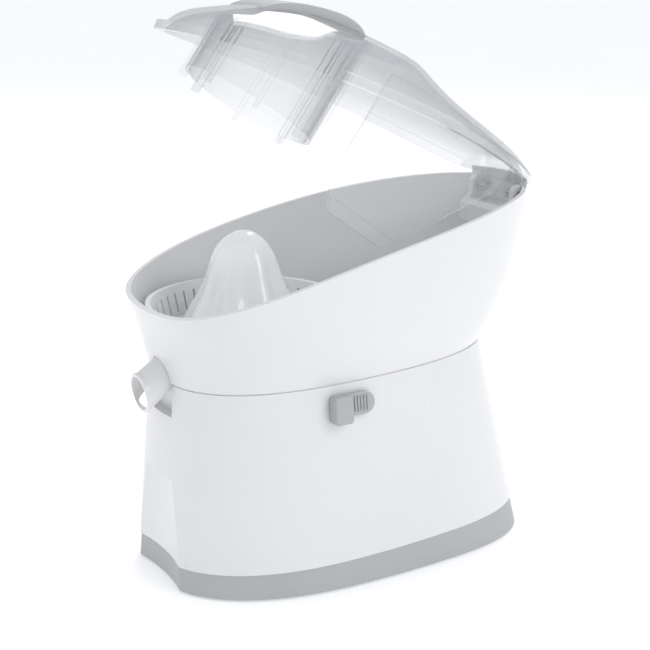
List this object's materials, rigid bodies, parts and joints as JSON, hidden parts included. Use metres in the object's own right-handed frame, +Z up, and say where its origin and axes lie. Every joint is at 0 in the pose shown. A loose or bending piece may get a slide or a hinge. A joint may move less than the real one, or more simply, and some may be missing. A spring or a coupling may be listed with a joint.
{
  "type": "citrus press juicer",
  "caption": "Electric citrus press with a ribbed cone in a slotted basket, an egg-shaped body with a sloping rim and a hinged clear lid with a press ring, shown open.",
  "frame": {"origin": "centre of the bounding box's footprint, on the surface it stands on", "axes": "+Z up, -Y to the front where the spout is, +Y to the lid hinge, +X to the side that carries the lever"},
  "size_m": [0.1534, 0.2699, 0.3415],
  "materials": {
    "white_plastic": "satin gloss",
    "cone_plastic": "gloss",
    "grey_plastic": "fine satin",
    "clear_plastic": "polished clear plastic",
    "rubber": "matt",
    "screw_steel": "zinc plated",
    "shaft_steel": "ground",
    "bush_brass": "turned",
    "gear_nylon": "moulded",
    "rotor_steel": "laminated",
    "motor_steel": "zinc plated",
    "switch_plastic": "moulded"
  },
  "bodies": {
    "body": {"base_ring": "grey_plastic", "bottom_cover": "grey_plastic", "rubber_feet": "rubber", "cover_screws": "screw_steel", "motor_housing": "white_plastic", "juice_container": "white_plastic", "spout": "white_plastic", "sieve_basket": "white_plastic", "spindle_bush": "bush_brass", "shaft_seal": "rubber", "idler_axle": "shaft_steel", "motor_can": "motor_steel", "motor_cap": "motor_steel", "gearbox_plate": "motor_steel", "plate_screws": "screw_steel", "micro_switch": "switch_plastic", "cord_grommet": "rubber", "rear_tray": "white_plastic", "hinge_bracket": "white_plastic", "hinge_pins": "shaft_steel"},
    "lid": {"lid_shell": "clear_plastic", "lid_handle": "grey_plastic", "press_ring": "clear_plastic", "splash_guard": "clear_plastic"},
    "output": {"output_gear": "gear_nylon", "press_spring": "shaft_steel"},
    "cone": {"spindle": "shaft_steel", "reamer_cone": "cone_plastic"},
    "idler": {"idler_gear": "gear_nylon"},
    "rotor": {"motor_rotor": "rotor_steel"},
    "plunger": {"switch_plunger": "grey_plastic"},
    "lever": {"side_lever": "grey_plastic"}
  },
  "joints": [
    {"name": "lid_hinge", "type": "hinge", "parent": "body", "child": "lid", "pos_m": [0, 0.123, 0.21547], "axis": [1, 0, 0], "range_deg": [0, 36.1]},
    {"name": "cone_spin", "type": "hinge", "parent": "body", "child": "output", "pos_m": [0, -0.063, 0.088], "axis": [0, 0, 1], "continuous": true},
    {"name": "cone_press", "type": "slide", "parent": "output", "child": "cone", "axis": [0, 0, -1], "range_m": [0, 0.003], "stiffness_N_per_m": 600, "springref_m": -0.004, "deforming": ["press_spring"]},
    {"name": "idler_spin", "type": "hinge", "parent": "body", "child": "idler", "pos_m": [0, -0.0205, 0.09], "axis": [0, 0, 1], "continuous": true},
    {"name": "motor_spin", "type": "hinge", "parent": "body", "child": "rotor", "pos_m": [0, 0.0135, 0.06], "axis": [0, 0, 1], "continuous": true},
    {"name": "switch_press", "type": "slide", "parent": "body", "child": "plunger", "axis": [0, 0, -1], "range_m": [0, 0.003]},
    {"name": "lever_slide", "type": "slide", "parent": "body", "child": "lever", "axis": [0, 1, 0], "range_m": [0, 0.008]}
  ],
  "couplings": [
    {"joint": "idler_spin", "follows": "cone_spin", "ratio": -4},
    {"joint": "motor_spin", "follows": "cone_spin", "ratio": 12},
    {"joint": "switch_press", "follows": "cone_press", "ratio": 1}
  ]
}
